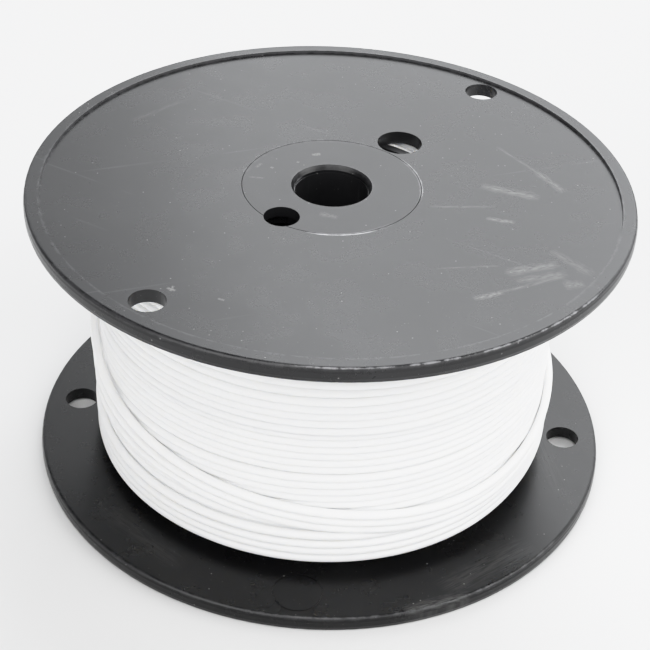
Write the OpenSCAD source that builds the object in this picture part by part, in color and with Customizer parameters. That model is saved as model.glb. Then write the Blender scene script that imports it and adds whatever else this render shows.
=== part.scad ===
// Wire spool: two black moulded flanges on a drum, held by two hub discs on an
// arbor tube, and one length of white insulated wire wound between the
// flanges. Millimetres. The arbor axis is +Z and the spool stands on its lower
// flange at z = 0.

/* [Flanges] */
// Outside diameter of both flanges
flange_d = 165; // [120:0.5:220]
// Width of the spool between the flanges' outer faces
spool_w = 86.6; // [50:0.2:140]
// Thickness of a flange at its rim
rim_t = 4.6; // [3:0.1:8]
// Width of the raised rim on a flange's outer face
rim_w = 4.1; // [2:0.1:8]
// Depth of the panel below the rim on a flange's outer face
panel_recess = 0.8; // [0.3:0.1:1.5]

/* [Flange holes] */
// Diameter of the two tie holes near each flange's edge
tie_hole_d = 9.5; // [5:0.1:14]
// Distance from the axis to a tie hole, as a share of the flange's radius
tie_hole_share = 0.876; // [0.8:0.002:0.9]
// Diameter of the start hole beside the drum
start_hole_d = 12.6; // [6:0.1:16]
// Diameter of the drive hole across the hub's edge
drive_hole_d = 9.6; // [5:0.1:12]
// Turn of the upper flange's line of holes about the axis, in degrees
upper_turn = 53.2; // [-180:0.1:180]
// Turn of the lower flange's line of holes about the axis, in degrees
lower_turn = -3; // [-180:0.1:180]

/* [Drum] */
// Outside diameter of the drum
drum_d = 68; // [64:0.5:90]
// Wall thickness of the drum
drum_wall = 2.4; // [1.6:0.1:4]

/* [Hubs] */
// Diameter of the hub's disc, seen as the round seam in the flange
disc_d = 48.5; // [40:0.1:60]
// Thickness of the hub's disc
disc_t = 3; // [2:0.1:5]
// Diameter of the mouth in each hub disc
mouth_d = 22; // [16:0.1:24]
// Depth of that mouth, down to the end of the arbor tube
mouth_depth = 2.1; // [1.5:0.1:2.6]
// Depth of the bevel round the mouth
mouth_bevel = 1.3; // [0.2:0.1:1.4]

/* [Arbor tube] */
// Diameter of the arbor bore
arbor_d = 20; // [12:0.1:21]
// Wall thickness of the arbor tube
tube_wall = 2.4; // [1.6:0.1:3]

/* [Wire] */
// Outside diameter of the insulated wire
wire_d = 2.25; // [1.2:0.05:4]
// Diameter of the stranded copper conductor
conductor_d = 1.2; // [0.6:0.05:2]
// Diameter over the full winding
winding_d = 131; // [90:0.5:150]
// Height of the winding's slumped corner over the lower flange
slump_h = 4.6; // [1:0.1:8]
// Depth of that corner, measured towards the axis
slump_w = 5.4; // [1:0.1:8]

/* [Hidden] */
$fn = 96;

eps = 0.01;
seam_gap = 0.2;
fit_gap = 0.15;
edge_r = 0.9;
draft = 0.15;
facet_h = 1.5;
seat_t = 3.2;
collar_t = 2;
collar_h = 6;
key_w = 6;
key_h = 4;
key_count = 3;
key_gap = 0.15;
shoulder_w = 3.2;
mark_d = 13.6;
mark_line = 0.4;
mark_depth = 0.15;

flange_r = flange_d / 2;
panel_r = flange_r - rim_w;
tie_r = flange_r * tie_hole_share;
mark_r = flange_r * 0.89;
drum_r = drum_d / 2;
drum_in_r = drum_r - drum_wall;
collar_r = drum_in_r - fit_gap;
seat_r = disc_d / 2 + seam_gap;
seat_z = panel_recess + disc_t;
floor_z = seat_z + seat_t;
arbor_r = arbor_d / 2;
tube_r = arbor_r + tube_wall;
tube_z = panel_recess + mouth_depth;
throat_r = arbor_r + 0.2;
shoulder_r = tube_r + shoulder_w;
opening_r = shoulder_r + fit_gap;
start_r = max(drum_r - 2.9, seat_r + start_hole_d / 2 + seam_gap);
drive_r = disc_d / 2 - 3;
relief_d = drive_hole_d + 3.4;
wire_r = wire_d / 2;
winding_r = winding_d / 2;
winding_gap = 0.1;
tail_from = 84;
tail_to = 112;
tail_bare = 1.4;
tail_z = spool_w * 0.62;
tail_path_r = winding_r + wire_r + winding_gap;

module moulding() {
  color([0.09, 0.09, 0.1]) children();
}

// A ring about Z: its section is a rectangle between two radii.
module ring(r_in, r_out, z_from, z_to) {
  rotate_extrude()
    translate([r_in, z_from])
      square([r_out - r_in, z_to - z_from]);
}

// The rim's section: flat faces, rounded corners, and a middle band that
// stands proud of the two drafted bands beside it.
module rim_section() {
  out_r = flange_r - draft;
  translate([panel_r, 0])
    square([out_r - edge_r - panel_r, rim_t]);
  translate([panel_r, edge_r])
    square([out_r - panel_r, rim_t - 2 * edge_r]);
  for (z = [edge_r, rim_t - edge_r])
    translate([out_r - edge_r, z])
      circle(r = edge_r);
  polygon([
    [panel_r, edge_r],
    [out_r, edge_r],
    [flange_r, facet_h],
    [flange_r, rim_t - facet_h],
    [out_r, rim_t - edge_r],
    [panel_r, rim_t - edge_r]
  ]);
}

// A flange as it stands below: outer face down, its line of holes along X.
module flange() {
  difference() {
    union() {
      rotate_extrude() rim_section();
      ring(opening_r, panel_r + eps, panel_recess, rim_t);
      ring(opening_r, collar_r, rim_t - eps, floor_z);
      ring(collar_r - collar_t, collar_r, floor_z - eps, rim_t + collar_h);
      for (i = [0 : key_count - 1])
        rotate([0, 0, 60 + i * 360 / key_count])
          translate([collar_r - collar_t / 2, -key_w / 2, rim_t - eps])
            cube([drum_r - key_gap - collar_r + collar_t / 2, key_w, key_h]);
    }
    translate([0, 0, panel_recess - eps])
      cylinder(r = seat_r, h = disc_t + eps);
    for (side = [-1, 1])
      translate([side * tie_r, 0, -eps])
        cylinder(d = tie_hole_d, h = rim_t + 2 * eps);
    translate([start_r, 0, -eps])
      cylinder(d = start_hole_d, h = rim_t + collar_h + 3 * eps);
    translate([-drive_r, 0, -eps])
      cylinder(d = drive_hole_d, h = seat_z + eps);
    translate([-drive_r, 0, seat_z])
      cylinder(d = relief_d, h = floor_z + eps);
    translate([0, -mark_r, 0])
      ring(mark_d / 2 - mark_line, mark_d / 2, rim_t - mark_depth, rim_t + eps);
  }
}

// A hub disc as it stands below: face down, with a shoulder that fills the
// flange's opening and a socket for the arbor tube.
module hub() {
  difference() {
    union() {
      translate([0, 0, panel_recess])
        cylinder(d = disc_d, h = disc_t);
      translate([0, 0, seat_z - eps])
        cylinder(r = shoulder_r, h = seat_t + eps);
    }
    translate([0, 0, panel_recess - eps])
      cylinder(r1 = mouth_d / 2, r2 = throat_r, h = mouth_bevel + eps);
    translate([0, 0, panel_recess + mouth_bevel - eps])
      cylinder(r = throat_r, h = mouth_depth);
    translate([0, 0, tube_z])
      cylinder(r = tube_r + fit_gap / 2, h = floor_z);
    translate([-drive_r, 0, panel_recess - eps])
      cylinder(d = drive_hole_d, h = disc_t + 2 * eps);
    translate([-drive_r, 0, seat_z])
      cylinder(d = relief_d, h = seat_t + 2 * eps);
  }
}

// Turns a part made for the lower end over, so that it fits the upper end.
module at_upper_end() {
  rotate([0, 0, upper_turn])
    translate([0, 0, spool_w])
      rotate([180, 0, 0])
        children();
}

module at_lower_end() {
  rotate([0, 0, lower_turn]) children();
}

module upper_flange() {
  moulding() at_upper_end() flange();
}

module lower_flange() {
  moulding() at_lower_end() flange();
}

module upper_hub() {
  moulding() at_upper_end() hub();
}

module lower_hub() {
  moulding() at_lower_end() hub();
}

// The tube joins the two hub discs, which clamp the flanges on the drum.
module arbor_tube() {
  moulding() ring(arbor_r, tube_r, tube_z, spool_w - tube_z);
}

// Notches that take one flange's keys, at the drum's end that faces down.
module key_notches() {
  for (i = [0 : key_count - 1])
    rotate([0, 0, 60 + i * 360 / key_count])
      translate([drum_in_r - 1, -key_w / 2 - key_gap, -1])
        cube([drum_wall + 2, key_w + 2 * key_gap, key_h + key_gap + 1]);
}

module drum() {
  moulding()
    difference() {
      ring(drum_in_r, drum_r, rim_t, spool_w - rim_t);
      at_lower_end()
        translate([0, 0, rim_t]) key_notches();
      at_upper_end()
        translate([0, 0, rim_t]) key_notches();
    }
}

// All the wound turns together, as one plain body of their outer shape.
module winding() {
  low_z = rim_t + winding_gap;
  top_z = spool_w - rim_t - winding_gap;
  color([0.95, 0.95, 0.93])
    rotate_extrude()
      polygon([
        [drum_r + winding_gap, low_z],
        [winding_r - slump_w, low_z],
        [winding_r, low_z + slump_h],
        [winding_r, top_z - wire_r],
        [winding_r - wire_r, top_z],
        [drum_r + winding_gap, top_z]
      ]);
}

// An arc of wire lying on the winding, between two angles about the axis.
module tail_arc(d, from_deg, to_deg) {
  rotate([0, 0, from_deg])
    rotate_extrude(angle = to_deg - from_deg)
      translate([tail_path_r, tail_z])
        circle(d = d);
}

module tail_insulation() {
  color([0.95, 0.95, 0.93])
    difference() {
      tail_arc(wire_d, tail_from, tail_to);
      tail_arc(conductor_d, tail_from - 1, tail_to + 1);
    }
}

module tail_conductor() {
  color([0.8, 0.47, 0.3])
    tail_arc(conductor_d - 2 * eps, tail_from, tail_to + tail_bare);
}

upper_flange();
lower_flange();
drum();
upper_hub();
lower_hub();
arbor_tube();
winding();
tail_insulation();
tail_conductor();
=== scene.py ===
"""Looks for the wire spool: satin black mouldings, every wound turn of the
white wire, a pale floor, soft studio light and the camera."""

import logging
import math
from dataclasses import dataclass, field
from enum import Enum

import bpy
import numpy as np
from mathutils import Matrix, Vector


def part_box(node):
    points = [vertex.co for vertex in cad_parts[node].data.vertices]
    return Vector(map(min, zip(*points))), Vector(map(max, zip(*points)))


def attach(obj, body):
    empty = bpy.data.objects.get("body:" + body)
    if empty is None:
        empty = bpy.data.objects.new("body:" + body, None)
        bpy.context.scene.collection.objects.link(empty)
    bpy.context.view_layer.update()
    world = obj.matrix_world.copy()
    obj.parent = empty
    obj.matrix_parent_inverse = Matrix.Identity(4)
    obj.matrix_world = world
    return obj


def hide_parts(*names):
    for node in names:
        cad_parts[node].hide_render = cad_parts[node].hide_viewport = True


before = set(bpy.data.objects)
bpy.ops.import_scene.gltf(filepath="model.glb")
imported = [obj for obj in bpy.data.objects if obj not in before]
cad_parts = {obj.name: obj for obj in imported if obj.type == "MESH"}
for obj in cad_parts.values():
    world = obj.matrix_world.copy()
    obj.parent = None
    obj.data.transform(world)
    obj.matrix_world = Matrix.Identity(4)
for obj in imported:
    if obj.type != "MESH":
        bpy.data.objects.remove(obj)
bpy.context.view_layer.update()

LOG = logging.getLogger("wire_spool")
Socket = bpy.types.NodeSocket
Material = bpy.types.Material
Piece = bpy.types.Object
Inputs = dict[str | int, object]
MM = 1e-3
END_RING = 0.02  # a closed end's last ring, as a share of the tube's radius


@dataclass(frozen=True)
class SpoolSizes:
    """The spool's main sizes in metres, all read from the frame's boxes."""

    flange_radius: float
    width: float
    rim_thickness: float
    drum_radius: float
    wire_diameter: float
    tail_height: float
    conductor_diameter: float
    panel_height: float
    disc_radius: float

    @classmethod
    def from_frame(cls) -> "SpoolSizes":
        """Read the sizes from the boxes of the CAD nodes.

        Returns:
            The sizes, with the arbor axis on Z and the base at zero.
        """
        low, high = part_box("lower_flange")
        drum_low, drum_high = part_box("drum")
        tail_low, tail_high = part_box("tail_insulation")
        bare_low, bare_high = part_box("tail_conductor")
        hub_low, hub_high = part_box("upper_hub")
        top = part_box("upper_flange")[1].z
        return cls(
            flange_radius=(high.y - low.y) / 2,
            width=top,
            rim_thickness=drum_low.z,
            drum_radius=(drum_high.x - drum_low.x) / 2,
            wire_diameter=tail_high.z - tail_low.z,
            tail_height=(tail_low.z + tail_high.z) / 2,
            conductor_diameter=bare_high.z - bare_low.z,
            panel_height=hub_high.z,
            disc_radius=(hub_high.x - hub_low.x) / 2,
        )


def mesh_piece(name: str, points: np.ndarray, quads: np.ndarray, uv: np.ndarray | None = None) -> Piece:
    """Make a smooth mesh object from arrays of points and quads.

    Args:
        name: The piece's name.
        points: Vertex positions, shape (n, 3).
        quads: Vertex indices of each face, shape (m, 4), facing outwards.
        uv: A place on the surface for each vertex, shape (n, 2), or None.

    Returns:
        The new object, linked to the scene, at the origin.
    """
    mesh = bpy.data.meshes.new(name)
    mesh.vertices.add(len(points))
    mesh.vertices.foreach_set("co", points.astype(np.float32).ravel())
    mesh.loops.add(quads.size)
    mesh.loops.foreach_set("vertex_index", quads.astype(np.int32).ravel())
    mesh.polygons.add(len(quads))
    mesh.polygons.foreach_set("loop_start", np.arange(0, quads.size, 4, dtype=np.int32))
    if uv is not None:
        layer = mesh.uv_layers.new(name="surface")
        layer.data.foreach_set("uv", uv[quads.ravel()].astype(np.float32).ravel())
    mesh.update(calc_edges=True)
    mesh.validate()
    mesh.shade_smooth()
    piece = bpy.data.objects.new(name, mesh)
    bpy.context.scene.collection.objects.link(piece)
    return piece


def path_frame(path: np.ndarray) -> tuple[np.ndarray, np.ndarray, np.ndarray]:
    """Directions along a path that runs round the arbor axis, at each point.

    The first is outwards from the axis with its part along the path taken
    away, the second is square to that and to the path, and the last value is
    the length run so far.

    Args:
        path: Centre line, shape (n, 3).

    Returns:
        Outward and sideways directions, shape (n, 3), and lengths, shape (n,).
    """
    ahead = np.gradient(path, axis=0)
    ahead /= np.linalg.norm(ahead, axis=1, keepdims=True)
    outward = path * (1.0, 1.0, 0.0)
    outward /= np.linalg.norm(outward, axis=1, keepdims=True)
    outward -= ahead * np.sum(outward * ahead, axis=1, keepdims=True)
    outward /= np.linalg.norm(outward, axis=1, keepdims=True)
    steps = np.linalg.norm(np.diff(path, axis=0), axis=1)
    return outward, np.cross(ahead, outward), np.concatenate([[0.0], np.cumsum(steps)])


def rings_round(
    outward: np.ndarray, across: np.ndarray, rows: np.ndarray | list[int], turn: np.ndarray
) -> np.ndarray:
    """Directions round a path: outwards by the cosine, sideways by the sine.

    Args:
        outward: Outward directions along the path, shape (n, 3).
        across: Sideways directions along the path, shape (n, 3).
        rows: Which points of the path the rings stand at, k of them.
        turn: Angles round each ring, m of them.

    Returns:
        The directions, shape (k, m, 3).
    """
    out = outward[rows][:, None, :] * np.cos(turn)[None, :, None]
    return out + across[rows][:, None, :] * np.sin(turn)[None, :, None]


def swept_tube(name: str, path: np.ndarray, radius: float, sides: int, bore: float = 0.0) -> Piece:
    """Carry a circle along a path that runs round the arbor axis.

    At each point of the path the circle lies across it. The ends are closed
    by shrinking a last ring almost to a point. With a bore, the far end first
    turns inwards and runs back inside the wall for a little way.

    Args:
        name: The piece's name.
        path: Centre line, shape (n, 3).
        radius: The tube's radius.
        sides: How many faces go round it.
        bore: Radius of the hollow at the far end, or zero for none.

    Returns:
        The tube, with its length along U and the way round it along V.
    """
    outward, across, along = path_frame(path)
    last = len(path) - 1
    rows = [0, *range(len(path)), last]
    size = [radius * END_RING, *[radius] * len(path), radius * END_RING]
    if bore > 0.0:
        floor = last - 3
        cut_edge = radius * 0.985
        rows = [0, *range(len(path)), last, floor, floor]
        size = [radius * END_RING, *[radius] * last, cut_edge, bore, bore, bore * END_RING]
    turn = np.linspace(np.pi, 3 * np.pi, sides, endpoint=False)
    ring = rings_round(outward, across, rows, turn)
    points = path[rows][:, None, :] + ring * np.array(size)[:, None, None]
    spot = np.arange(len(rows) * sides).reshape(len(rows), sides)
    beside = np.roll(spot, -1, axis=1)
    quads = np.stack([spot[:-1], beside[:-1], beside[1:], spot[1:]], axis=-1)
    share = (turn[None, :] - np.pi) / (2 * np.pi)
    uv = np.stack(np.broadcast_arrays(along[rows][:, None], share), -1)
    return mesh_piece(name, points.reshape(-1, 3), quads.reshape(-1, 4), uv.reshape(-1, 2))


def twisted_strands(name: str, path: np.ndarray, radius: float, lay: float, sides: int) -> Piece:
    """Twist nineteen strands, one inside six inside twelve, along a path.

    A strand's centre stands off the path by its own circle's radius, at an
    angle that turns once in each lay of length. Round that centre the strand
    is a small circle across the path.

    Args:
        name: The piece's name.
        path: Centre line, shape (n, 3).
        radius: Radius of the whole bundle.
        lay: Length of path in which the bundle turns once.
        sides: How many faces go round a strand.

    Returns:
        The bundle, as one mesh.
    """
    outward, across, along = path_frame(path)
    thick = radius / 5
    inner, outer = 1.95 * thick, 3.9 * thick
    shift = 0.13
    rings = np.repeat([0.0, inner, outer], [1, 6, 12])
    start = np.concatenate([[0.0], np.arange(6) * np.pi / 3, np.arange(12) * np.pi / 6 + shift])
    angle = start[:, None] + 2 * np.pi * along[None, :] / lay
    centre = path[None] + rings[:, None, None] * (
        outward[None] * np.cos(angle)[..., None] + across[None] * np.sin(angle)[..., None]
    )
    rows = np.concatenate([[0], np.arange(len(path)), [len(path) - 1]])
    size = np.full(len(rows), thick)
    size[[0, -1]] *= 0.05
    turn = np.linspace(0.0, 2 * np.pi, sides, endpoint=False)
    ring = rings_round(outward, across, rows, turn)
    points = centre[:, rows][:, :, None, :] + (ring * size[:, None, None])[None]
    spot = np.arange(points[..., 0].size).reshape(points.shape[:3])
    beside = np.roll(spot, -1, axis=2)
    quads = np.stack([spot[:, :-1], beside[:, :-1], beside[:, 1:], spot[:, 1:]], axis=-1)
    return mesh_piece(name, points.reshape(-1, 3), quads.reshape(-1, 4))


@dataclass
class Graph:
    """A node tree with short ways to add nodes and join them."""

    tree: bpy.types.NodeTree

    def feed(self, socket: Socket, value: object) -> None:
        """Join a socket to another one, or set it to a plain value.

        Args:
            socket: The socket that takes the value.
            value: An output socket, a number or a tuple.
        """
        if isinstance(value, bpy.types.NodeSocket):
            self.tree.links.new(value, socket)
        else:
            socket.default_value = value

    def node(self, kind: str, inputs: Inputs | None = None, **settings: object) -> bpy.types.Node:
        """Add a node.

        Args:
            kind: The node's type.
            inputs: What its inputs take, by name or number.
            settings: Its properties, by name.

        Returns:
            The node.
        """
        made = self.tree.nodes.new(kind)
        for name, value in settings.items():
            setattr(made, name, value)
        for name, value in (inputs or {}).items():
            self.feed(made.inputs[name], value)
        return made

    def math(self, operation: str, *values: object, clamp: bool = False) -> Socket:
        """Work out one number from up to three others."""
        made = self.node("ShaderNodeMath", dict(enumerate(values)), operation=operation, use_clamp=clamp)
        return made.outputs[0]

    def times(self, first: object, second: object, clamp: bool = False) -> Socket:
        """One number times another."""
        return self.math("MULTIPLY", first, second, clamp=clamp)

    def scaled(self, value: object, by: object, plus: object, clamp: bool = False) -> Socket:
        """A number scaled by a second one, plus a third."""
        return self.math("MULTIPLY_ADD", value, by, plus, clamp=clamp)

    def less(self, first: object, second: object) -> Socket:
        """One number less another."""
        return self.math("SUBTRACT", first, second)

    def over(self, first: object, second: object, clamp: bool = False) -> Socket:
        """One number over another."""
        return self.math("DIVIDE", first, second, clamp=clamp)

    def vector(self, operation: str, *values: object) -> bpy.types.Node:
        """Work out a vector, or a number such as a length, from vectors."""
        return self.node("ShaderNodeVectorMath", dict(enumerate(values)), operation=operation)

    def dot(self, first: object, second: object) -> Socket:
        """The dot product of two vectors."""
        return self.vector("DOT_PRODUCT", first, second).outputs["Value"]

    def stretch(self, place: Socket, by: tuple[float, float, float]) -> Socket:
        """A place with each coordinate scaled by its own number."""
        return self.vector("MULTIPLY", place, by).outputs[0]

    def flat(self, place: Socket) -> Socket:
        """A place seen from above, with its height taken away."""
        return self.stretch(place, (1.0, 1.0, 0.0))

    def height(self, place: Socket) -> Socket:
        """A place's height."""
        return self.node("ShaderNodeSeparateXYZ", {0: place}).outputs["Z"]

    def after(self, place: Socket, value: Socket) -> Socket:
        """The same place, but worked out after a value, which keeps a long chain in turn."""
        return self.vector("MULTIPLY_ADD", value, (1e-9, 1e-9, 1e-9), place).outputs[0]

    def noise(self, place: Socket, scale: object, detail: float = 3.0, rough: float = 0.5) -> Socket:
        """Smooth noise from 0 to 1, at so many lumps in a unit of the place."""
        inputs = {"Vector": place, "Scale": scale, "Detail": detail, "Roughness": rough}
        return self.node("ShaderNodeTexNoise", inputs).outputs["Fac"]

    def ramp(self, value: Socket, low: object, high: object, start: float = 0, end: float = 1) -> Socket:
        """Ease a number from one range to another, held at both ends."""
        inputs = {"Value": value, "From Min": low, "From Max": high, "To Min": start, "To Max": end}
        return self.node("ShaderNodeMapRange", inputs, interpolation_type="SMOOTHSTEP").outputs["Result"]

    def use(self, effect: bpy.types.NodeTree, **values: object) -> Socket:
        """Place a shared effect, with its inputs joined or set by name."""
        return self.node("ShaderNodeGroup", values, node_tree=effect).outputs[0]

    def mix(self, share: object, first: object, second: object) -> Socket:
        """Mix two colours, by the share of the second."""
        return self.node("ShaderNodeMix", {0: share, 6: first, 7: second}, data_type="RGBA").outputs[2]

    def bump(self, height: Socket, distance: float, strength: float) -> Socket:
        """Turn a height, as a share of a distance in metres, into a normal."""
        inputs = {"Strength": strength, "Distance": distance, "Height": height}
        return self.node("ShaderNodeBump", inputs).outputs["Normal"]


def new_material(name: str) -> tuple[Material, Graph, bpy.types.Node, Socket]:
    """Start a material with a Principled shader.

    Args:
        name: The material's name.

    Returns:
        The material, its graph, its shader node and its Object coordinates.
    """
    material = bpy.data.materials.new(name)
    material.use_nodes = True
    graph = Graph(material.node_tree)
    shader = material.node_tree.nodes["Principled BSDF"]
    place = graph.node("ShaderNodeTexCoord").outputs["Object"]
    return material, graph, shader, place


def new_effect(name: str, gives: str, takes: Inputs) -> tuple[Graph, bpy.types.NodeOutputs, Socket]:
    """Start a shared effect: a node group that takes a place and other inputs.

    Args:
        name: The effect's name.
        gives: The output's name.
        takes: The name and first value of each input after the place.

    Returns:
        The group's graph, its inputs as they arrive, and where its result goes.
    """
    tree = bpy.data.node_groups.new(name, "ShaderNodeTree")
    tree.interface.new_socket("place", in_out="INPUT", socket_type="NodeSocketVector")
    for label, value in takes.items():
        kind = "NodeSocketVector" if isinstance(value, tuple) else "NodeSocketFloat"
        tree.interface.new_socket(label, in_out="INPUT", socket_type=kind).default_value = value
    tree.interface.new_socket(gives, in_out="OUTPUT", socket_type="NodeSocketFloat")
    graph = Graph(tree)
    return graph, graph.node("NodeGroupInput").outputs, graph.node("NodeGroupOutput").inputs[0]


class Effects:
    """The effects that several finishes share, each a node group built once."""

    def __init__(self) -> None:
        """Build every group."""
        self.skin = self.build_skin()
        self.dust = self.build_dust()
        self.hairlines = self.build_hairlines()
        self.stroke = self.build_stroke()
        self.ring = self.build_ring()
        self.sector = self.build_sector()

    @staticmethod
    def build_skin() -> bpy.types.NodeTree:
        """Surface height: fine grain on a slow swell, each at its own scale.

        Returns:
            The group.
        """
        takes = {"grain": 900.0, "swell": 22.0, "share": 0.2}
        graph, given, result = new_effect("surface_skin", "height", takes)
        fine = graph.noise(given["place"], given["grain"], 2.0)
        slow = graph.noise(given["place"], given["swell"], 1.0, 0.4)
        graph.feed(result, graph.scaled(graph.less(fine, slow), given["share"], slow))
        return graph.tree

    @staticmethod
    def build_dust() -> bpy.types.NodeTree:
        """Specks of dust: small spots in a random few of many little cells.

        Returns:
            The group.
        """
        takes = {"cells": 500.0, "size": 0.13, "rarity": 0.8}
        graph, given, result = new_effect("dust_specks", "mask", takes)
        cells = graph.node("ShaderNodeTexVoronoi", {"Vector": given["place"], "Scale": given["cells"]})
        lot = graph.dot(cells.outputs["Color"], (1.0, 0.0, 0.0))
        near = graph.over(graph.less(given["size"], cells.outputs["Distance"]), given["size"])
        chosen = graph.math("GREATER_THAN", lot, given["rarity"])
        graph.feed(result, graph.times(graph.times(near, 2.0, clamp=True), chosen))
        return graph.tree

    @staticmethod
    def build_hairlines() -> bpy.types.NodeTree:
        """Hair-thin scratches, all one way, in drifting patches.

        Returns:
            The group.
        """
        graph, given, result = new_effect("hairline_scratches", "mask", {"turn": 0.0, "cover": 0.62})
        inputs = {"Vector": given["place"], "Angle": given["turn"]}
        turned = graph.node("ShaderNodeVectorRotate", inputs, rotation_type="Z_AXIS").outputs[0]
        drawn = graph.noise(graph.stretch(turned, (9.0, 420.0, 9.0)), 1.0, 2.0)
        line = graph.ramp(drawn, given["cover"], graph.math("ADD", given["cover"], 0.035))
        patch = graph.ramp(graph.noise(turned, 45.0, 2.0), 0.45, 0.62)
        graph.feed(result, graph.times(line, patch))
        return graph.tree

    @staticmethod
    def build_stroke() -> bpy.types.NodeTree:
        """One scuff seen from above, from a start to an end, broken into streaks.

        The share along is the place's reach along the line over the line's
        length, held from 0 to 1, and the distance is from the nearest point of
        the line. The mark thins out towards both ends.

        Returns:
            The group.
        """
        takes = {"start": (0.0, 0.0, 0.0), "end": (0.01, 0.0, 0.0), "width": 0.001}
        graph, given, result = new_effect("scuff_stroke", "mask", takes)
        shake = graph.noise(given["place"], 260.0, 3.0, 0.6)
        line = graph.vector("SUBTRACT", given["end"], given["start"]).outputs[0]
        reach = graph.vector("SUBTRACT", graph.flat(given["place"]), given["start"]).outputs[0]
        squared = graph.dot(line, line)
        share = graph.over(graph.dot(reach, line), squared, clamp=True)
        nearest = graph.node("ShaderNodeVectorMath", {0: line, "Scale": share}, operation="SCALE")
        away = graph.vector("DISTANCE", reach, nearest.outputs[0]).outputs["Value"]
        aside = graph.dot(graph.vector("CROSS_PRODUCT", line, reach).outputs[0], (0.0, 0.0, 1.0))
        across = graph.over(graph.times(aside, 2600.0), graph.math("SQRT", squared))
        inputs = {"X": graph.times(share, 5.0), "Y": across, "Z": graph.times(aside, 9000.0)}
        streaks = graph.noise(graph.node("ShaderNodeCombineXYZ", inputs).outputs[0], 1.0, 3.0, 0.6)
        broken = graph.ramp(streaks, 0.36, 0.62)
        ends = graph.times(graph.times(share, graph.less(1.0, share)), 9.0, clamp=True)
        soft = graph.times(given["width"], graph.scaled(shake, 1.4, 0.3))
        body = graph.less(1.0, graph.over(away, soft, clamp=True))
        graph.feed(result, graph.times(graph.times(body, ends), broken))
        return graph.tree

    @staticmethod
    def build_ring() -> bpy.types.NodeTree:
        """A band along a round edge, by the distance from its circle, for wear and for painted highlights.

        The distance is taken in the plane of radius and height, and a fine
        noise makes the band ragged.

        Returns:
            The group.
        """
        takes = {"radius": 0.08, "height": 0.0, "reach": 0.001, "ragged": 0.6}
        graph, given, result = new_effect("edge_wear_and_highlight_ring", "mask", takes)
        across = graph.vector("LENGTH", graph.flat(given["place"])).outputs["Value"]
        out = graph.less(across, given["radius"])
        up = graph.less(graph.height(given["place"]), given["height"])
        away = graph.math("SQRT", graph.math("ADD", graph.times(out, out), graph.times(up, up)))
        uneven = graph.ramp(graph.noise(given["place"], 420.0, 4.0, 0.65), 0.35, 0.65)
        reach = graph.times(given["reach"], graph.less(1.0, graph.times(uneven, given["ragged"])))
        graph.feed(result, graph.less(1.0, graph.over(away, reach, clamp=True)))
        return graph.tree

    @staticmethod
    def build_sector() -> bpy.types.NodeTree:
        """A part of the way round the axis: one at its heading, none past its spread.

        The heading is an angle from the front, positive to the right, in
        radians, and the spread is the cosine of the angle where it ends.

        Returns:
            The group.
        """
        takes = {"heading": 0.0, "spread": 0.7, "soft": 0.08}
        graph, given, result = new_effect("round_sector", "mask", takes)
        forward = graph.times(graph.math("COSINE", given["heading"]), -1.0)
        inputs = {"X": graph.math("SINE", given["heading"]), "Y": forward}
        facing = graph.node("ShaderNodeCombineXYZ", inputs).outputs[0]
        here = graph.vector("NORMALIZE", graph.flat(given["place"])).outputs[0]
        full = graph.math("ADD", given["spread"], given["soft"])
        graph.feed(result, graph.ramp(graph.dot(here, facing), given["spread"], full))
        return graph.tree


@dataclass(frozen=True)
class Scuff:
    """A mark on a face: where it starts and ends and its width, in mm."""

    start: tuple[float, float]
    end: tuple[float, float]
    width: float
    strength: float

    def mask(self, graph: Graph, effects: Effects, place: Socket) -> Socket:
        """Where the scuff lies, from 0 to 1."""
        start, end = ((x * MM, y * MM, 0.0) for x, y in (self.start, self.end))
        return graph.use(effects.stroke, place=place, start=start, end=end, width=self.width * MM)


@dataclass(frozen=True)
class EdgeWearAndHighlight:
    """A band along a round edge, for wear and for painted highlights: its radius, height and reach in mm,
    and where it shows.
    """

    radius: float
    height: float
    reach: float
    strength: float
    heading: float = 0.0
    half_angle: float = 180.0

    def mask(self, graph: Graph, effects: Effects, place: Socket) -> Socket:
        """Where the edge band lies, from 0 to 1.

        Args:
            graph: The material's graph.
            effects: The shared effects.
            place: Object coordinates.

        Returns:
            The mask.
        """
        size = {"radius": self.radius * MM, "height": self.height * MM, "reach": self.reach * MM}
        worn = graph.use(effects.ring, place=place, **size)
        if self.half_angle >= 180.0:
            return worn
        heading, spread = math.radians(self.heading), math.cos(math.radians(self.half_angle))
        return graph.times(worn, graph.use(effects.sector, place=place, heading=heading, spread=spread))


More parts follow.
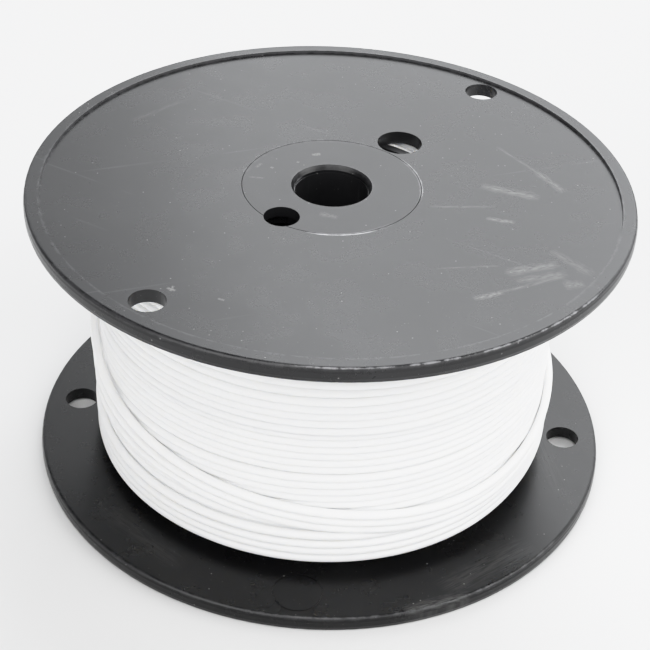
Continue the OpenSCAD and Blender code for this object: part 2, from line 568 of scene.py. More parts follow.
@dataclass(frozen=True)
class MouldedPlastic:
    """Satin black moulded plastic, with dust, scuffs, worn edges, painted edge highlights and grain."""

    name: str
    effects: Effects
    roughness: float = 0.28
    tone: float = 0.0075
    gloss: float = 0.34
    dusty: float = 0.5
    scuffs: tuple[Scuff, ...] = ()
    edges: tuple[EdgeWearAndHighlight, ...] = ()

    # What lies on the plastic or shows where it is rubbed; the last pale colour also serves the painted
    # edge highlights.
    FILM = (0.5, 0.5, 0.49, 1.0)
    HAIRLINE = (0.5, 0.5, 0.52, 1.0)
    SCUFFED = (0.42, 0.42, 0.41, 1.0)
    WORN_AND_HIGHLIGHT = (0.55, 0.55, 0.57, 1.0)
    DUST = (0.7, 0.7, 0.68, 1.0)
    FACE_REACH = 0.0006  # metres below the face that its scuffs still mark

    def joined(
        self, graph: Graph, place: Socket, marks: tuple[Scuff | EdgeWearAndHighlight, ...], face: float | None = None
    ) -> Socket:
        """Add up marks by their strengths, each worked out after the one before.

        Args:
            graph: The material's graph.
            place: Object coordinates.
            marks: The scuffs, or the edge bands of wear and painted highlight.
            face: Height in metres of the face they are kept to, or None.

        Returns:
            One mask, from 0 to 1.
        """
        total: Socket | float = 0.0
        for mark in marks:
            total = graph.scaled(mark.mask(graph, self.effects, place), mark.strength, total)
            place = graph.after(place, total)
        if face is not None:
            on_face = graph.math("GREATER_THAN", graph.height(place), face - self.FACE_REACH)
            total = graph.times(total, on_face)
        return graph.times(total, 1.0, clamp=True)

    def build(self, face_height: float | None = None) -> Material:
        """Make the material.

        Args:
            face_height: Height in metres of the face that carries the scuffs.

        Returns:
            The material.
        """
        material, graph, shader, place = new_material(self.name)
        shader.inputs["Specular IOR Level"].default_value = self.gloss
        tone = self.tone
        cloud = graph.ramp(graph.noise(place, 38.0, 4.0, 0.6), 0.4, 0.75, 0.0, 0.5)
        coarse = graph.use(self.effects.dust, place=place, cells=520.0, size=0.12, rarity=0.84)
        fine = graph.use(self.effects.dust, place=place, cells=1300.0, size=0.16, rarity=0.93)
        specks = graph.math("ADD", coarse, graph.times(fine, 0.5), clamp=True)
        specks = graph.times(specks, self.dusty)
        one_way = graph.use(self.effects.hairlines, place=place, turn=0.5, cover=0.7)
        other_way = graph.use(self.effects.hairlines, place=place, turn=-0.35, cover=0.71)
        hairs = graph.math("ADD", one_way, other_way, clamp=True)
        film = graph.times(graph.ramp(graph.noise(place, 14.0, 5.0, 0.62), 0.42, 0.7), 0.012 * self.dusty)
        later = graph.after(place, graph.math("ADD", hairs, film))
        marks = self.joined(graph, later, self.scuffs, face_height)
        wear_and_highlight = self.joined(graph, graph.after(place, marks), self.edges)
        black = graph.mix(cloud, (tone, tone, tone * 1.1, 1.0), (tone * 1.8, tone * 1.82, tone * 2.0, 1.0))
        colour = graph.mix(film, black, self.FILM)
        colour = graph.mix(graph.times(hairs, 0.035), colour, self.HAIRLINE)
        colour = graph.mix(graph.times(marks, 0.34), colour, self.SCUFFED)
        # Pale along worn edges, and along edges that carry a painted highlight.
        colour = graph.mix(wear_and_highlight, colour, self.WORN_AND_HIGHLIGHT)
        graph.feed(shader.inputs["Base Color"], graph.mix(graph.times(specks, 0.45), colour, self.DUST))
        rough = graph.scaled(graph.noise(place, 90.0, 5.0, 0.65), 0.1, self.roughness - 0.05)
        rough = graph.scaled(marks, 0.18, rough)
        rough = graph.scaled(hairs, 0.03, rough)
        graph.feed(shader.inputs["Roughness"], graph.scaled(specks, 0.3, rough, clamp=True))
        height = graph.use(self.effects.skin, place=place, grain=900.0, swell=22.0, share=0.008)
        height = graph.scaled(marks, -0.03, height)
        graph.feed(shader.inputs["Normal"], graph.bump(height, 0.0006, 0.4))
        return material


@dataclass(frozen=True)
class WireInsulation:
    """Smooth white PVC with drawn lines, a soft sheen and faint handling marks."""

    effects: Effects
    name: str = "white_insulation"
    colour: tuple[float, float, float] = (0.955, 0.955, 0.947)
    roughness: float = 0.42

    DUST = (0.55, 0.52, 0.46, 1.0)

    def build(self) -> Material:
        """Make the material, with patterns that run along the wire's surface.

        Returns:
            The material.
        """
        material, graph, shader, place = new_material(self.name)
        white = (*self.colour, 1.0)
        dull = tuple(c * 0.93 for c in self.colour) + (1.0,)
        shader.inputs["Subsurface Weight"].default_value = 1.0
        shader.inputs["Subsurface Radius"].default_value = (1.0, 0.97, 0.9)
        shader.inputs["Subsurface Scale"].default_value = 0.0016
        surface = graph.node("ShaderNodeUVMap", uv_map="surface").outputs["UV"]
        drawn = graph.noise(graph.stretch(surface, (25.0, 14.0, 0.0)), 1.0, 2.0)
        cloud = graph.ramp(graph.noise(place, 60.0, 4.0, 0.6), 0.5, 0.8, 0.0, 0.5)
        rubbing = graph.noise(graph.stretch(surface, (45.0, 5.0, 0.0)), 1.0, 4.0)
        rub = graph.ramp(rubbing, 0.62, 0.72, 0.0, 0.35)
        specks = graph.use(self.effects.dust, place=place, cells=420.0, size=0.09, rarity=0.93)
        colour = graph.mix(graph.math("MAXIMUM", cloud, rub), white, dull)
        graph.feed(shader.inputs["Base Color"], graph.mix(graph.times(specks, 0.4), colour, self.DUST))
        rough = graph.scaled(graph.noise(place, 300.0), 0.12, self.roughness - 0.06)
        graph.feed(shader.inputs["Roughness"], graph.scaled(rub, 0.25, rough, clamp=True))
        height = graph.use(self.effects.skin, place=place, grain=1500.0, swell=200.0, share=0.4)
        height = graph.scaled(drawn, 0.6, height)
        graph.feed(shader.inputs["Normal"], graph.bump(height, 0.00003, 0.5))
        return material


@dataclass(frozen=True)
class BareCopper:
    """Bright copper strands with drawn lines and a first trace of tarnish."""

    effects: Effects
    name: str = "copper"

    BRIGHT = (0.85, 0.42, 0.26, 1.0)
    DULL = (0.68, 0.32, 0.19, 1.0)
    TARNISHED = (0.34, 0.17, 0.11, 1.0)

    def build(self) -> Material:
        """Make the material.

        Returns:
            The material.
        """
        material, graph, shader, place = new_material(self.name)
        shader.inputs["Metallic"].default_value = 1.0
        cloud = graph.noise(place, 900.0, 3.0, 0.5)
        tarnish = graph.ramp(graph.noise(place, 260.0, 4.0, 0.6), 0.5, 0.75)
        metal = graph.mix(cloud, self.BRIGHT, self.DULL)
        graph.feed(shader.inputs["Base Color"], graph.mix(tarnish, metal, self.TARNISHED))
        rough = graph.ramp(cloud, 0.3, 0.7, 0.2, 0.36)
        graph.feed(shader.inputs["Roughness"], graph.scaled(tarnish, 0.2, rough))
        height = graph.use(self.effects.skin, place=place, grain=6000.0, swell=1200.0, share=0.5)
        graph.feed(shader.inputs["Normal"], graph.bump(height, 0.00001, 0.5))
        return material


@dataclass(frozen=True)
class StageWhite:
    """The plain pale surface that the spool stands on."""

    name: str = "stage_white"
    level: float = 0.76

    def build(self) -> Material:
        """Make the material.

        Returns:
            The material.
        """
        material, _, shader, _ = new_material(self.name)
        shader.inputs["Base Color"].default_value = (self.level, self.level, self.level, 1.0)
        shader.inputs["Roughness"].default_value = 0.9
        shader.inputs["Specular IOR Level"].default_value = 0.0
        return material


def eased(knots: tuple[tuple[float, float], ...], angle: np.ndarray) -> np.ndarray:
    """Carry a smooth curve through knots of angle and value.

    Between two knots the value is a cubic. Its slope at a knot is the harmonic
    mean of the straight slopes before and after it, and level where those two
    disagree in sign, so the curve never swings past its knots.

    Args:
        knots: Angles in degrees, rising, with a value for each.
        angle: Where the curve is wanted, in degrees.

    Returns:
        The curve's values.
    """
    at = np.array([k[0] for k in knots])
    value = np.array([k[1] for k in knots])
    line = np.diff(value) / np.diff(at)
    before, after = line[:-1], line[1:]
    agree = before * after > 0.0
    total = np.where(agree, before + after, 1.0)
    slope = np.concatenate([line[:1], np.where(agree, 2 * before * after / total, 0.0), line[-1:]])
    spot = np.clip(np.searchsorted(at, angle) - 1, 0, len(at) - 2)
    span = at[spot + 1] - at[spot]
    t = np.clip((angle - at[spot]) / span, 0.0, 1.0)
    return (
        (2 * t**3 - 3 * t**2 + 1) * value[spot]
        + (t**3 - 2 * t**2 + t) * span * slope[spot]
        + (3 * t**2 - 2 * t**3) * value[spot + 1]
        + (t**3 - t**2) * span * slope[spot + 1]
    )


def soften(values: np.ndarray, reach: int) -> np.ndarray:
    """Average each value with its neighbours, the near ones counting most.

    Args:
        values: The values, whose ends are held.
        reach: How many neighbours count on each side.

    Returns:
        The softened values, as many as before.
    """
    padded = np.concatenate([np.full(reach, values[0]), values, np.full(reach, values[-1])])
    weights = np.hanning(2 * reach + 3)[1:-1]
    return np.convolve(padded, weights / weights.sum(), mode="valid")


@dataclass
class Winding:
    """The wound wire: full layers, and a loose last layer over them.

    Angles are degrees round the arbor axis from the front, positive to the
    right, and the whole wire runs that way round. Heights and radii are
    millimetres here, and metres in the meshes. The wire is drawn thicker than
    its gauge by the fullness, so that the turns press against each other. From
    one layer on, each starts higher than the last by the slump, because the
    winding's lower corner has slipped.
    """

    sizes: SpoolSizes
    full_layers: int = 15
    layer_rise: float = 1.975
    pitch: float = 2.27
    outer_start: tuple[float, float] = (75.0, 9.1)
    outer_turns: float = 31.5
    over_radius: float = 64.8
    band_pitch: float = 2.27
    band_turns: int = 7
    fullness: float = 1.09
    first_gap: float = 0.03
    end_gap: float = 1.25
    slump: float = 1.35
    slump_from: int = 10
    pieces: list[Piece] = field(default_factory=list)

    # Points in a turn and faces round the wire, of the hidden and seen layers.
    HIDDEN_DETAIL = (60, 6)
    OUTER_DETAIL = (180, 14)
    LOOSE_DETAIL = (200, 16)
    KINK = 18  # bends in the loose turns are evened out over this part of a turn

    # How far the outer layer's turns stray from an even helix, by height:
    # upwards where they are spread, and outwards where they are squeezed.
    SPREAD = (
        (35.6, 0.0), (37.6, 0.45), (49.2, 0.62), (51.4, 0.0), (58.6, -0.1), (60.4, 0.1), (63.0, 0.1),
        (66.0, 0.6),
    )
    SQUEEZE = (
        (36.5, 0.0), (37.1, -0.3), (38.4, -0.3), (39.0, 0.0), (49.6, 0.0), (50.6, 0.35), (51.6, 0.35),
        (53.0, 0.0), (60.5, 0.0), (61.7, -0.8), (66.0, -0.8), (68.0, 0.0),
    )

    # The loose turns, in the order in which they were wound. Each is a list of
    # angles and the heights of the wire's centre there, and each begins where
    # the one before it ends, at the back.
    LOOSE_TURNS = (
        ((-180, 64.5), (-150, 59.9), (-110, 50.0), (-80, 42.2), (-64, 37.0), (-50, 33.7), (-20, 28.9),
         (10, 24.7), (30, 22.2), (46, 21.7), (62, 23.7), (82, 27.4), (115, 31.2), (180, 34.4)),
        ((-180, 34.4), (-130, 35.2), (-80, 33.2), (-50, 29.7), (-20, 26.1), (10, 22.1), (30, 19.9),
         (46, 19.7), (62, 21.8), (82, 25.2), (115, 28.6), (180, 31.0)),
        ((-180, 31.0), (-130, 29.6), (-80, 27.0), (-52, 26.0), (-36, 25.3), (-20, 23.4), (10, 19.8),
         (30, 17.4), (46, 17.1), (62, 19.3), (82, 22.6), (115, 25.8), (180, 26.6)),
        ((-180, 26.6), (-130, 22.2), (-80, 18.5), (-50, 17.3), (-20, 17.4), (8, 17.5), (22, 17.0),
         (36, 15.9), (46, 15.9), (62, 18.0), (82, 21.2), (115, 23.6), (180, 23.7)),
        ((-180, 23.7), (-130, 19.2), (-80, 15.6), (-50, 14.0), (-20, 14.3), (10, 14.4), (30, 14.8),
         (46, 15.2), (62, 17.2), (82, 19.5), (115, 21.2), (180, 20.5)),
        ((-180, 20.5), (-130, 16.2), (-80, 13.1), (-50, 11.6), (-20, 11.9), (10, 12.0), (30, 12.3),
         (46, 13.0), (62, 15.0), (82, 17.0), (115, 18.4), (180, 17.8)),
        ((-180, 17.8), (-130, 13.4), (-80, 10.7), (-50, 9.4), (-20, 9.5), (10, 9.5), (30, 9.8),
         (46, 10.9), (62, 12.9), (82, 14.4), (110, 16.0), (128, 22.5), (150, 38.0), (166, 49.5),
         (174, 52.4)),
    )
    # How far the wire's centre stands off its usual radius along each of them.
    LIFTS = (
        ((-180, 0.0), (-130, 0.7), (-62, 0.7), (-30, 0.3), (10, 0.15), (40, 0.4), (95, 0.6),
         (118, 1.6), (136, 1.6), (152, 0.0), (180, 0.0)),
        ((-180, 0.0), (-100, 0.3), (-50, 0.3), (-20, 0.1), (180, 0.0)),
        ((-180, 0.0), (180, 0.0)),
        ((-180, 0.0), (16, 0.0), (34, -1.8), (150, -1.8), (180, 0.0)),
        ((-180, -0.1), (180, -0.1)),
        ((-180, -0.2), (180, -0.2)),
        ((-180, -0.2), (100, -0.2), (118, 2.1), (134, 2.1), (150, 0.4), (174, 0.4)),
    )

    def layer_radius(self, layer: int) -> float:
        """Centre-line radius of a full layer, counted from the drum."""
        first = (self.sizes.drum_radius + self.sizes.wire_diameter / 2) / MM + self.first_gap
        return first + layer * self.layer_rise

    def wander(self, angle: np.ndarray, seed: float, size: float) -> np.ndarray:
        """Sum of three slow sines, so that no two turns lie quite alike.

        Args:
            angle: Angles in degrees.
            seed: Sets where each sine starts.
            size: The most that the sum can reach.

        Returns:
            The sum at each angle.
        """
        turn = np.radians(angle)
        return size * (
            0.5 * np.sin(turn * 0.83 + seed)
            + 0.3 * np.sin(turn * 2.17 + seed * 2.3)
            + 0.2 * np.sin(turn * 5.31 + seed * 0.7)
        )

    def full_layer(self, layer: int, steps: int) -> np.ndarray:
        """Centre line of one hidden layer, a helix between the flanges.

        The height runs evenly, up on even layers and down on odd ones. The
        outer layers stay clear of the winding's slumped lower corner.

        Args:
            layer: The layer, counted from the drum.
            steps: Points in each turn.

        Returns:
            Points in metres, shape (n, 3).
        """
        low = self.sizes.rim_thickness / MM + self.end_gap + self.slump * max(0, layer - self.slump_from)
        high = (self.sizes.width - self.sizes.rim_thickness) / MM - self.end_gap
        turns = round((high - low) / self.pitch)
        share = np.linspace(0.0, 1.0, turns * steps + 1)
        rise = share if layer % 2 == 0 else 1.0 - share
        angle = share * turns * 360.0 - 180.0
        height = low + (high - low) * rise + self.wander(angle, layer, 0.12) * np.sin(np.pi * share)
        return self.on_axis(angle, self.layer_radius(layer), height)

    def outer_layer(self, steps: int) -> np.ndarray:
        """Centre line of the last full layer, which is the one that shows.

        It climbs from the slumped lower corner to the upper flange. The turns
        near the middle are spread a little, the first one past them is squeezed
        outwards, and the turns under the top band lie lower than the rest.

        Args:
            steps: Points in each turn.

        Returns:
            Points in metres, shape (n, 3).
        """
        start, low = self.outer_start
        turn = np.linspace(0.0, self.outer_turns, int(self.outer_turns * steps) + 1)
        angle = start + turn * 360.0
        height = low + self.pitch * turn
        spread = np.interp(height, *zip(*self.SPREAD))
        squeeze = np.interp(height, *zip(*self.SQUEEZE))
        radius = self.layer_radius(self.full_layers - 1) + squeeze + self.wander(angle, 1.3, 0.12)
        return self.on_axis(angle, radius, height + spread + self.wander(angle, 4.1, 0.16))

    def loose_layer(self, steps: int) -> np.ndarray:
        """Centre line of the top band, the loose turns and the run to the tail.

        The band is a helix that comes down from the upper flange. Below it
        each turn follows its own list of heights and lifts.

        Args:
            steps: Points in each turn.

        Returns:
            Points in metres, shape (n, 3).
        """
        first = self.outer_start[0] + self.outer_turns * 360.0
        first -= 360.0 * round(first / 360.0)
        last = 360.0 * (self.band_turns - 1) + 180.0
        band = np.linspace(first, last, int((last - first) / 360.0 * steps), endpoint=False)
        base = self.LOOSE_TURNS[0][0][1]
        heights = [base + (last - band) / 360.0 * self.band_pitch]
        radii = [np.full(len(band), self.over_radius)]
        angles = [band]
        for number, (knots, lifts) in enumerate(zip(self.LOOSE_TURNS, self.LIFTS)):
            end = knots[-1][0]
            local = np.linspace(-180.0, end, int((end + 180.0) / 360.0 * steps), endpoint=False)
            angles.append(last + 180.0 + number * 360.0 + local)
            heights.append(eased(knots, local))
            radii.append(self.over_radius + eased(lifts, local))
        angle = np.concatenate(angles)
        height = soften(np.concatenate(heights), steps // self.KINK) + self.wander(angle, 7.7, 0.1)
        radius = soften(np.concatenate(radii), steps // self.KINK) + self.wander(angle, 2.9, 0.1)
        return self.on_axis(angle, radius, height)

    @staticmethod
    def on_axis(angle: np.ndarray, radius: np.ndarray | float, height: np.ndarray) -> np.ndarray:
        """Points in metres at angles from the front, radii and heights."""
        turn = np.radians(angle)
        return MM * np.stack([radius * np.sin(turn), -radius * np.cos(turn), height], axis=-1)

    def build(self) -> list[Piece]:
        """Make each hidden layer, the outer layer and the loose layer.

        Returns:
            The pieces.
        """
        radius = self.sizes.wire_diameter / 2 * self.fullness
        steps, sides = self.HIDDEN_DETAIL
        for layer in range(self.full_layers - 1):
            name = f"wire_layer_{layer + 1:02d}"
            self.pieces.append(swept_tube(name, self.full_layer(layer, steps), radius, sides))
        steps, sides = self.OUTER_DETAIL
        self.pieces.append(swept_tube("wire_outer_layer", self.outer_layer(steps), radius, sides))
        steps, sides = self.LOOSE_DETAIL
        self.pieces.append(swept_tube("wire_loose_turns", self.loose_layer(steps), radius, sides))
        return self.pieces

    def dress(self, finish: Material) -> None:
        """Put the finish on every layer and let them stand for the CAD solid.

        Args:
            finish: The insulation's material.
        """
        for piece in self.pieces:
            piece.data.materials.append(finish)
            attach(piece, "root")
            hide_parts("winding")


@dataclass
class WireTail:
    """The wire's outer end, lying on the winding at the back.

    It runs on from the last loose turn and ends cut square, with its strands
    standing a little out of the insulation. It starts below its height by the
    drop, which it makes up over some degrees. Angles are as in the winding.
    """

    sizes: SpoolSizes
    start: float = 172.5
    cut: float = 202.0
    bare_end: float = 203.4
    radius: float = 65.6
    climb_over: float = 12.0
    drop: float = 1.55
    points: int = 110
    fullness: float = 1.09
    pieces: dict[str, Piece] = field(default_factory=dict)

    SIDES = 24
    STRAND_SIDES = 8
    STRAND_LAY = 0.014  # metres in which the strands turn once
    FIT = 1.04  # the hollow in the insulation, over the strands

    def route(self, end: float) -> np.ndarray:
        """Centre line from the start, where it lies low, to an angle.

        Args:
            end: The last angle, in degrees.

        Returns:
            Points in metres, shape (n, 3).
        """
        angle = np.linspace(self.start, end, self.points)
        climb = np.clip((angle - self.start) / self.climb_over, 0.0, 1.0)
        height = self.sizes.tail_height / MM - self.drop * (1.0 - climb) ** 2
        return Winding.on_axis(angle, self.radius, height)

    def build(self) -> list[Piece]:
        """Make the insulation with its open end, and the strands in it.

        Returns:
            The two pieces.
        """
        radius = self.sizes.wire_diameter / 2 * self.fullness
        core = self.sizes.conductor_diameter / 2
        self.pieces["tail_insulation"] = swept_tube(
            "wire_tail_insulation", self.route(self.cut), radius, self.SIDES, core * self.FIT
        )
        self.pieces["tail_conductor"] = twisted_strands(
            "wire_tail_strands", self.route(self.bare_end), core, self.STRAND_LAY, self.STRAND_SIDES
        )
        return list(self.pieces.values())

    def dress(self, insulation: Material, copper: Material) -> None:
        """Put the finishes on and let the pieces stand for their CAD solids.

        Args:
            insulation: The insulation's material.
            copper: The strands' material.
        """
        finishes = {
            "tail_insulation": (insulation, "white_insulation"),
            "tail_conductor": (copper, "copper"),
        }
        for node, piece in self.pieces.items():
            finish, slot = finishes[node]
            piece.data.materials.append(finish)
            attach(piece, "root")
            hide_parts(node)


@dataclass
class Mouldings:
    """The black moulded pieces, whose shapes come from the CAD nodes."""

    sizes: SpoolSizes
    effects: Effects

    # Marks on the upper panel: the right side took most of them.
    PANEL_SCUFFS = (
        Scuff((46.0, 25.5), (57.5, 11.0), 0.7, 0.45),
        Scuff((56.0, 13.0), (63.5, 2.0), 1.5, 0.8),
        Scuff((40.5, 3.5), (56.5, -1.5), 2.1, 0.95),
        Scuff((26.0, -8.5), (44.5, -7.0), 0.7, 0.45),
        Scuff((41.0, -13.0), (49.0, -14.5), 1.1, 1.1),
        Scuff((27.0, -38.0), (45.0, -35.0), 0.6, 0.4),
        Scuff((36.0, -50.5), (44.0, -47.0), 1.2, 1.2),
        Scuff((42.0, -47.5), (61.0, -38.0), 0.9, 0.6),
        Scuff((44.5, -38.5), (59.0, -33.0), 2.2, 0.9),
        Scuff((47.0, -42.0), (60.5, -37.0), 1.8, 0.7),
        Scuff((57.0, -27.0), (67.0, -37.5), 2.0, 0.5),
        Scuff((59.0, -43.0), (64.5, -41.5), 2.2, 0.7),
        Scuff((-39.2, -52.0), (-36.8, -53.2), 0.6, 2.0),
        Scuff((-37.6, -51.0), (-38.2, -53.6), 0.5, 1.6),
        Scuff((-26.4, -55.5), (-24.6, -56.3), 0.5, 1.6),
        Scuff((-58.0, 30.0), (-44.0, 44.0), 1.2, 0.25),
    )
    DISC_SCUFFS = (
        Scuff((-6.0, 15.8), (-3.4, 16.5), 0.8, 2.6),
        Scuff((-3.0, -14.6), (2.2, -16.2), 1.2, 0.7),
        Scuff((-17.0, 8.2), (-16.2, 7.4), 0.6, 1.6),
        Scuff((-10.0, 11.6), (-9.2, 11.2), 0.6, 1.4),
        Scuff((-22.8, 2.4), (-18.2, 2.0), 0.5, 0.6),
        Scuff((-21.0, 7.5), (-19.5, 10.0), 0.7, 0.8),
    )
    LOWER_SCUFFS = (
        Scuff((24.0, -78.0), (42.0, -70.5), 2.0, 0.4),
        Scuff((34.0, -70.0), (60.0, -50.0), 5.0, 0.16),
        Scuff((-60.0, -44.0), (-34.0, -66.0), 4.0, 0.1),
        Scuff((60.0, 20.0), (70.0, -30.0), 4.0, 0.1),
    )

    def rim_edges(self, face: float, back: float, bright: float) -> tuple[EdgeWearAndHighlight, ...]:
        """Worn edges of a flange's rim, with painted highlights along its upper corner.

        Args:
            face: Height in mm of the rim's upper side.
            back: Height of its lower side.
            bright: How bright the painted highlight along the upper corner is at the front.

        Returns:
            The edges.
        """
        rim = self.sizes.flange_radius / MM
        return (
            EdgeWearAndHighlight(rim - 0.3, face - 0.3, 0.9, 0.06),
            EdgeWearAndHighlight(rim - 0.2, back + 0.2, 0.8, 0.08),
            EdgeWearAndHighlight(rim, back + 0.4, 1.6, 0.25, 24.0, 9.0),
            # Painted highlights: pale lines along the upper corner, at the front and front left.
            EdgeWearAndHighlight(rim - 0.35, face, 0.5, bright, 26.0, 34.0),
            EdgeWearAndHighlight(rim - 0.35, face, 0.45, bright * 0.5, -42.0, 9.0),
            EdgeWearAndHighlight(rim - 0.3, face - 0.3, 1.3, 0.35, -172.0, 2.0),
        )

    def seam_highlights(self, radius: float, height: float, bright: float) -> tuple[EdgeWearAndHighlight, ...]:
        """Painted highlights along the seam round the hub's disc, in some places only.

        Args:
            radius: The seam's radius in mm.
            height: The face's height in mm.
            bright: How bright the painted highlights are.

        Returns:
            The edges.
        """
        # Painted highlights: pale lines where the seam catches the light.
        return (
            EdgeWearAndHighlight(radius, height, 0.38, 1.1 * bright, 8.0, 24.0),
            EdgeWearAndHighlight(radius - 0.3, height, 0.5, 1.3 * bright, 34.0, 12.0),
            EdgeWearAndHighlight(radius - 0.2, height, 0.4, 0.5 * bright, 104.0, 28.0),
            EdgeWearAndHighlight(radius - 0.3, height - 0.6, 1.1, 0.22 * bright, -156.0, 62.0),
            EdgeWearAndHighlight(radius, height, 0.9, 1.6 * bright, -22.0, 3.5),
        )

    def dress(self) -> None:
        """Give each node its finish."""
        top = self.sizes.panel_height / MM
        width = self.sizes.width / MM
        rim = self.sizes.rim_thickness / MM
        disc = self.sizes.disc_radius / MM
        # Painted highlight: a pale line all round the recess step's bevel.
        recess_step_highlight = EdgeWearAndHighlight(self.sizes.flange_radius / MM - 4.1, width - 0.4, 0.9, 0.11)
        edges = self.rim_edges(width, width - rim, 0.75) + self.seam_highlights(disc + 0.5, top, 0.9) + (recess_step_highlight,)
        upper = MouldedPlastic("upper_flange_plastic", self.effects, scuffs=self.PANEL_SCUFFS, edges=edges)
        # Painted shade: the lower flange's black is darker than the upper flange's, though both are the
        # same plastic.
        lower = MouldedPlastic(
            "lower_flange_plastic", self.effects, gloss=0.24, tone=0.003,
            edges=self.rim_edges(rim, 0.0, 0.12), scuffs=self.LOWER_SCUFFS,
        )
        hub = MouldedPlastic(
            "hub_plastic", self.effects, roughness=0.3, scuffs=self.DISC_SCUFFS,
            edges=self.seam_highlights(disc, top, 0.35) + (
                # Painted reflection on the mouth's inner wall at the back and sides, and a painted
                # highlight on the tube end's arc at the left.
                EdgeWearAndHighlight(11.0, top - 0.4, 1.0, 0.06, 150.0, 110.0),
                EdgeWearAndHighlight(10.3, top - 1.5, 0.5, 0.3, -95.0, 35.0),
            ),
        )
        lower_hub = MouldedPlastic("lower_hub_plastic", self.effects, roughness=0.36, dusty=0.7)
        inner = MouldedPlastic("inner_plastic", self.effects, roughness=0.5)
        # Painted highlight: a pale arc on the tube's mouth at the left.
        tube_mouth_highlight = EdgeWearAndHighlight(10.4, top - 2.1, 0.6, 0.4, -95.0, 40.0)
        tube = MouldedPlastic("tube_plastic", self.effects, roughness=0.4, edges=(tube_mouth_highlight,))
        finishes = {
            "upper_flange": upper.build(self.sizes.panel_height),
            "lower_flange": lower.build(),
            "upper_hub": hub.build(self.sizes.panel_height),
            "lower_hub": lower_hub.build(),
            "drum": inner.build(),
            "arbor_tube": tube.build(),
        }
        for name, finish in finishes.items():
            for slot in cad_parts[name].material_slots:
                slot.material = finish
            LOG.info("%s: dressed in %s", name, finish.name)


@dataclass
class Viewpoint:
    """The camera: where it looks from, in flange radii and degrees."""

    sizes: SpoolSizes
    aim_height: float = 0.472
    distance: float = 5.738
    elevation: float = 36.04
    roll: float = 2.76
    lens: float = 91.2

    def build(self) -> None:
        """Make the camera and set it as the scene's."""
        unit = self.sizes.flange_radius
        tilt = math.radians(self.elevation)
        back = Vector((0.0, -math.cos(tilt), math.sin(tilt)))
        level = Matrix.Rotation(math.pi / 2 - tilt, 3, "X")
        turn = Matrix.Rotation(math.radians(self.roll), 3, back) @ level
        data = bpy.data.cameras.new("camera")
        data.lens = self.lens
        data.sensor_width = 36.0
        data.clip_start = 0.01
        camera = bpy.data.objects.new("camera", data)
        camera.location = Vector((0.0, 0.0, self.aim_height * unit)) + back * self.distance * unit
        camera.rotation_euler = turn.to_euler()
        bpy.context.scene.collection.objects.link(camera)
        bpy.context.scene.camera = camera


class Lamp(Enum):
    """Soft boxes: direction, height above the floor, width, height, brightness.

    The direction is degrees from straight behind the spool, positive to the
    right, the height is degrees up, and all of them stand as far off.
    """

    BACK_LEFT = (-25.5, 28.0, 2.75, 2.0, 1.3)
    BACK = (6.0, 26.0, 1.6, 2.0, 2.5)
    BACK_RIGHT = (30.5, 26.0, 1.8, 2.0, 2.8)
    BACK_SIDE = (56.0, 30.0, 1.75, 2.0, 2.2)
    BACK_HIGH = (13.0, 52.0, 2.0, 2.0, 4.9)
    OVERHEAD = (180.0, 76.0, 1.1, 1.1, 6.5)
    RIGHT = (100.0, 35.0, 3.1, 3.1, 2.9)
    FRONT_RIGHT = (140.0, 16.0, 3.5, 2.0, 1.2)
    FRONT_LEFT = (-145.0, 16.0, 3.5, 2.0, 2.2)
    FRONT_HIGH = (-165.0, 48.0, 4.4, 2.4, 2.2)


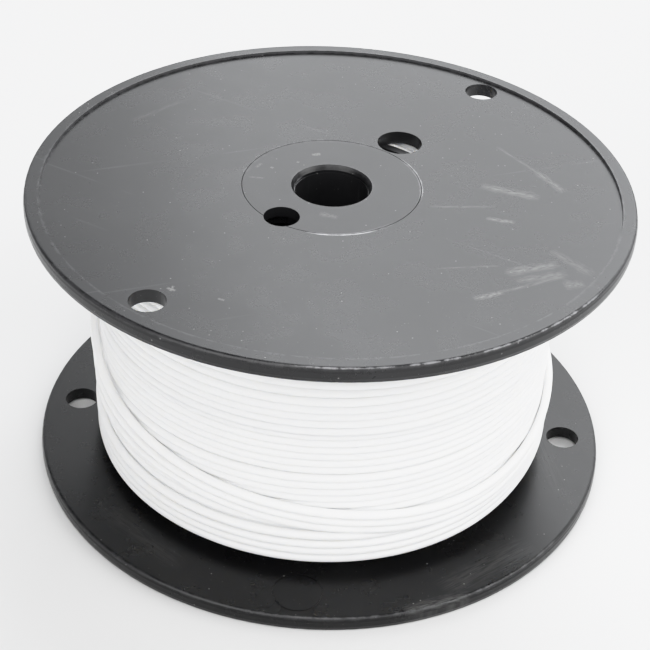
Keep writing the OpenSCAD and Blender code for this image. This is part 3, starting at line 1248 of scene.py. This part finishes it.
@dataclass
class Studio:
    """A pale floor and soft lamps round it, and nothing behind them."""

    distance: float = 4.0
    strength: float = 1.4
    floor_reach: float = 4.0
    brightest: float = 4.0
    shoulder: tuple[tuple[float, float], ...] = (
        (0.2, 0.2), (0.4, 0.4), (0.6, 0.575), (0.8, 0.71), (1.0, 0.8), (1.25, 0.872), (1.6, 0.93),
        (2.4, 0.98),
    )
    aim: Vector = field(default_factory=lambda: Vector((0.0, 0.0, 0.05)))

    COOL = (0.965, 0.98, 1.0)
    NEUTRAL = (1.0, 1.0, 1.0)

    def build(self) -> None:
        """Make the floor, the lamps and the dark surround."""
        corners = np.array([[-1, -1, 0], [1, -1, 0], [1, 1, 0], [-1, 1, 0]]) * self.floor_reach
        floor = mesh_piece("floor", corners, np.array([[0, 1, 2, 3]]))
        floor.data.materials.append(StageWhite().build())
        for role in Lamp:
            self.place_lamp(role)
        world = bpy.data.worlds.new("surround")
        world.use_nodes = True
        world.node_tree.nodes["Background"].inputs["Strength"].default_value = 0.0
        bpy.context.scene.world = world
        self.expose(bpy.context.scene.view_settings)

    def place_lamp(self, role: Lamp) -> None:
        """Make one soft box that faces the spool.

        Args:
            role: Which one.
        """
        heading, rise, wide, high, bright = role.value
        turn, lift = math.radians(heading), math.radians(rise)
        ahead = Vector((math.sin(turn) * math.cos(lift), math.cos(turn) * math.cos(lift), math.sin(lift)))
        place = self.distance * ahead
        data = bpy.data.lights.new(role.name.lower(), "AREA")
        data.shape = "RECTANGLE"
        data.size, data.size_y = wide, high
        data.color = self.COOL if role.name.startswith("BACK") else self.NEUTRAL
        data.energy = math.pi * wide * high * bright * self.strength
        lamp = bpy.data.objects.new(role.name.lower(), data)
        lamp.location = place
        lamp.rotation_euler = (self.aim - place).to_track_quat("-Z", "Y").to_euler()
        bpy.context.scene.collection.objects.link(lamp)

    def expose(self, view: bpy.types.ColorManagedViewSettings) -> None:
        """Give whites a soft shoulder, so that pale pieces keep their shading.

        Args:
            view: The scene's view settings.
        """
        view.view_transform = "Standard"
        view.use_curve_mapping = True
        curves = view.curve_mapping
        curves.clip_max_x = self.brightest
        curves.clip_max_y = 1.0
        tone = curves.curves[3]
        tone.points[0].location = (0.0, 0.0)
        tone.points[1].location = (self.brightest, 1.0)
        for given, shown in self.shoulder:
            tone.points.new(given, shown)
        curves.update()


def main() -> None:
    """Build the view, the spool's looks and the studio, in order."""
    logging.basicConfig(level=logging.INFO, format="%(name)s: %(message)s")
    sizes = SpoolSizes.from_frame()
    Viewpoint(sizes).build()
    winding = Winding(sizes)
    for piece in winding.build():
        LOG.info("%s: %d faces", piece.name, len(piece.data.polygons))
    effects = Effects()
    insulation = WireInsulation(effects).build()
    winding.dress(insulation)
    tail = WireTail(sizes)
    for piece in tail.build():
        LOG.info("%s: %d faces", piece.name, len(piece.data.polygons))
    tail.dress(insulation, BareCopper(effects).build())
    Mouldings(sizes, effects).dress()
    Studio().build()


if __name__ == "__main__":
    main()
